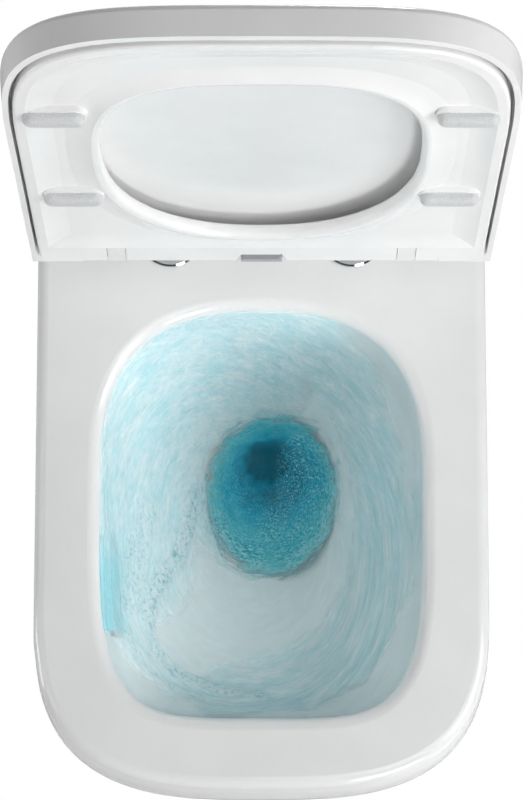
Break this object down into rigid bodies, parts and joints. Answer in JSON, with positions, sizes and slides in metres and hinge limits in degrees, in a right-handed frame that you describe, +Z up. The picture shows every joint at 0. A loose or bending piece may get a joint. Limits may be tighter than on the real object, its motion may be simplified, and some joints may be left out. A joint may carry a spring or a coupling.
{
  "type": "wall hung toilet",
  "caption": "Wall hung ceramic toilet with a D-shaped pan, swirl flush slot, hinged seat ring and lid raised on soft-close hinges, and quick-release fixings.",
  "frame": {"origin": "midway between the two wall fixing holes, on the wall face", "axes": "+Y into the wall, so the pan's front points to -Y; +X to the right seen from the front; +Z up"},
  "size_m": [0.3924, 0.5513, 0.8259],
  "materials": {
    "sanitary_ceramic": "white gloss glaze",
    "seat_plastic": "white gloss moulding",
    "hinge_plastic": "white satin moulding",
    "button_plastic": "grey satin moulding",
    "grey_plastic": "grey moulding",
    "cap_plastic": "white gloss moulding",
    "buffer_rubber": "grey matt rubber",
    "clear_rubber": "pale matt rubber",
    "rosette_chrome": "polished chrome",
    "zinc_steel": "zinc plated",
    "spring_steel": "drawn wire"
  },
  "bodies": {
    "pan": {"ceramic_pan": "sanitary_ceramic", "fixing_sleeves": "grey_plastic", "fixing_screws": "zinc_steel", "hinge_post_right": "zinc_steel", "hinge_post_left": "zinc_steel", "hinge_rosette_right": "rosette_chrome", "hinge_rosette_left": "rosette_chrome", "rosette_gaskets": "clear_rubber", "mounting_bolts": "zinc_steel", "expansion_bushes": "buffer_rubber", "expansion_nuts": "zinc_steel", "hinge_housing": "hinge_plastic", "hinge_cover": "hinge_plastic", "seat_damper": "grey_plastic", "lid_damper": "grey_plastic", "shaft_sleeves": "grey_plastic", "button_spring": "spring_steel"},
    "lid": {"lid": "seat_plastic", "lid_buffers": "clear_rubber", "lid_shaft": "zinc_steel", "lid_bush": "grey_plastic"},
    "seat": {"seat_ring": "seat_plastic", "seat_buffers_front": "buffer_rubber", "seat_buffers_rear": "buffer_rubber", "seat_hinge_insert_right": "hinge_plastic", "seat_hinge_insert_left": "hinge_plastic", "seat_shaft": "zinc_steel"},
    "button": {"release_button": "button_plastic"},
    "right_latch": {"latch_right": "zinc_steel"},
    "left_latch": {"latch_left": "zinc_steel"},
    "right_cap": {"cover_cap_right": "cap_plastic"},
    "left_cap": {"cover_cap_left": "cap_plastic"}
  },
  "joints": [
    {"name": "lid_hinge", "type": "hinge", "parent": "pan", "child": "lid", "pos_m": [0, -0.0865, 0.102], "axis": [-1, 0, 0], "range_deg": [-97, 0]},
    {"name": "seat_hinge", "type": "hinge", "parent": "lid", "child": "seat", "pos_m": [0, -0.0865, 0.102], "axis": [1, 0, 0], "range_deg": [0, 97]},
    {"name": "button_press", "type": "slide", "parent": "pan", "child": "button", "axis": [0, 1, 0], "range_m": [0, 0.003], "stiffness_N_per_m": 400, "springref_m": -0.005, "deforming": ["button_spring"]},
    {"name": "right_latch_slide", "type": "slide", "parent": "pan", "child": "right_latch", "axis": [-1, 0, 0], "range_m": [0, 0.003]},
    {"name": "left_latch_slide", "type": "slide", "parent": "pan", "child": "left_latch", "axis": [1, 0, 0], "range_m": [0, 0.003]},
    {"name": "right_cap_pull", "type": "slide", "parent": "pan", "child": "right_cap", "axis": [1, 0, 0], "range_m": [0, 0.012]},
    {"name": "left_cap_pull", "type": "slide", "parent": "pan", "child": "left_cap", "axis": [-1, 0, 0], "range_m": [0, 0.012]}
  ],
  "couplings": [
    {"joint": "right_latch_slide", "follows": "button_press", "ratio": 1},
    {"joint": "left_latch_slide", "follows": "button_press", "ratio": 1}
  ]
}
